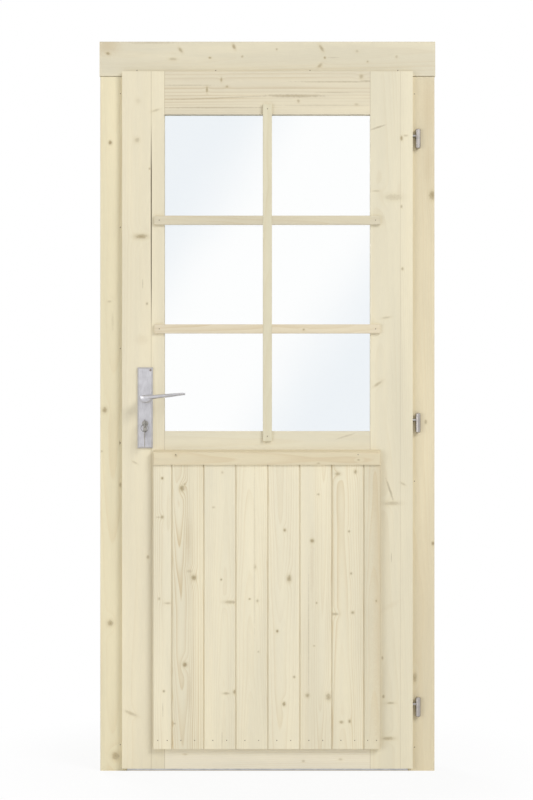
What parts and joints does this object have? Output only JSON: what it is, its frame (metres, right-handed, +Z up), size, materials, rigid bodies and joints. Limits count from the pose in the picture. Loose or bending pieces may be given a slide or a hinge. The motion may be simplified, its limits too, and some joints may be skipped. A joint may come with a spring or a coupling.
{
  "type": "glazed door with frame",
  "caption": "Framed garden-house door: rebated softwood leaf, glazed above with planted bars, boarded below, with lever handles, lock and screw-in hinges.",
  "frame": {"origin": "underside of the sill, mid-doorway, in the middle of the wall's thickness", "axes": "+Z up, +Y indoors, -Y outdoors, +X towards the hinges"},
  "size_m": [0.929, 0.155, 2.018],
  "materials": {
    "frame_wood": "planed, unpainted",
    "leaf_wood": "planed, unpainted",
    "board_wood": "planed, unpainted",
    "weather_bar_wood": "planed, unpainted",
    "strip_aluminium": "mill",
    "glass": "clear",
    "nail_steel": "bright",
    "hinge_steel": "galvanised",
    "lock_steel": "galvanised",
    "handle_aluminium": "satin anodised",
    "cylinder_nickel": "satin nickel"
  },
  "bodies": {
    "frame": {"post_lock_side": "frame_wood", "post_hinge_side": "frame_wood", "head_beam": "frame_wood", "sill": "frame_wood", "sill_strip": "strip_aluminium", "outer_casing_lock_side": "frame_wood", "outer_casing_hinge_side": "frame_wood", "outer_casing_head": "frame_wood", "inner_casing_lock_side": "frame_wood", "inner_casing_hinge_side": "frame_wood", "inner_casing_head": "frame_wood", "casing_nails": "nail_steel", "strike_plate": "lock_steel", "strike_screws": "lock_steel", "hinge_bottom_lower": "hinge_steel", "hinge_middle_lower": "hinge_steel", "hinge_top_lower": "hinge_steel"},
    "leaf": {"stile_lock_side": "leaf_wood", "stile_hinge_side": "leaf_wood", "rail_top": "leaf_wood", "rail_middle": "leaf_wood", "rail_bottom": "leaf_wood", "glass_pane": "glass", "bead_bottom": "leaf_wood", "bead_top": "leaf_wood", "bead_lock_side": "leaf_wood", "bead_hinge_side": "leaf_wood", "bar_vertical": "leaf_wood", "bar_lower": "leaf_wood", "bar_upper": "leaf_wood", "board_1": "board_wood", "board_2": "board_wood", "board_3": "board_wood", "board_4": "board_wood", "board_5": "board_wood", "board_6": "board_wood", "board_7": "board_wood", "board_8": "board_wood", "weather_bar": "weather_bar_wood", "leaf_nails": "nail_steel", "hinge_bottom_upper": "hinge_steel", "hinge_middle_upper": "hinge_steel", "hinge_top_upper": "hinge_steel", "lock_case": "lock_steel", "lock_forend": "lock_steel", "forend_screws": "lock_steel", "cylinder_body": "cylinder_nickel", "plate_outer": "handle_aluminium", "plate_inner": "handle_aluminium", "plate_screws": "handle_aluminium"},
    "lever": {"spindle": "lock_steel", "lock_follower": "lock_steel", "lever_outer": "handle_aluminium", "lever_inner": "handle_aluminium"},
    "latch_bolt": {"latch_bolt": "lock_steel"},
    "deadbolt": {"deadbolt": "lock_steel"},
    "key": {"cylinder_plug": "cylinder_nickel", "key": "cylinder_nickel", "key_ring": "cylinder_nickel", "spare_key": "cylinder_nickel"}
  },
  "joints": [
    {"name": "leaf_swing", "type": "hinge", "parent": "frame", "child": "leaf", "pos_m": [0.416, -0.04825, 0], "axis": [0, 0, 1], "range_deg": [0, 160]},
    {"name": "lever_turn", "type": "hinge", "parent": "leaf", "child": "lever", "pos_m": [-0.337, -0.0355, 1.033], "axis": [0, 1, 0], "range_deg": [0, 40], "stiffness_Nm_per_rad": 1.5, "springref_deg": -20.05},
    {"name": "latch_slide", "type": "slide", "parent": "leaf", "child": "latch_bolt", "axis": [1, 0, 0], "range_m": [0, 0.012]},
    {"name": "key_turn", "type": "hinge", "parent": "leaf", "child": "key", "pos_m": [-0.337, -0.0315, 0.961], "axis": [0, -1, 0], "range_deg": [0, 360]},
    {"name": "bolt_slide", "type": "slide", "parent": "leaf", "child": "deadbolt", "axis": [-1, 0, 0], "range_m": [0, 0.02]}
  ],
  "couplings": [
    {"joint": "latch_slide", "follows": "lever_turn", "m_per_rad": 0.017189},
    {"joint": "bolt_slide", "follows": "key_turn", "m_per_rad": 0.003183}
  ]
}
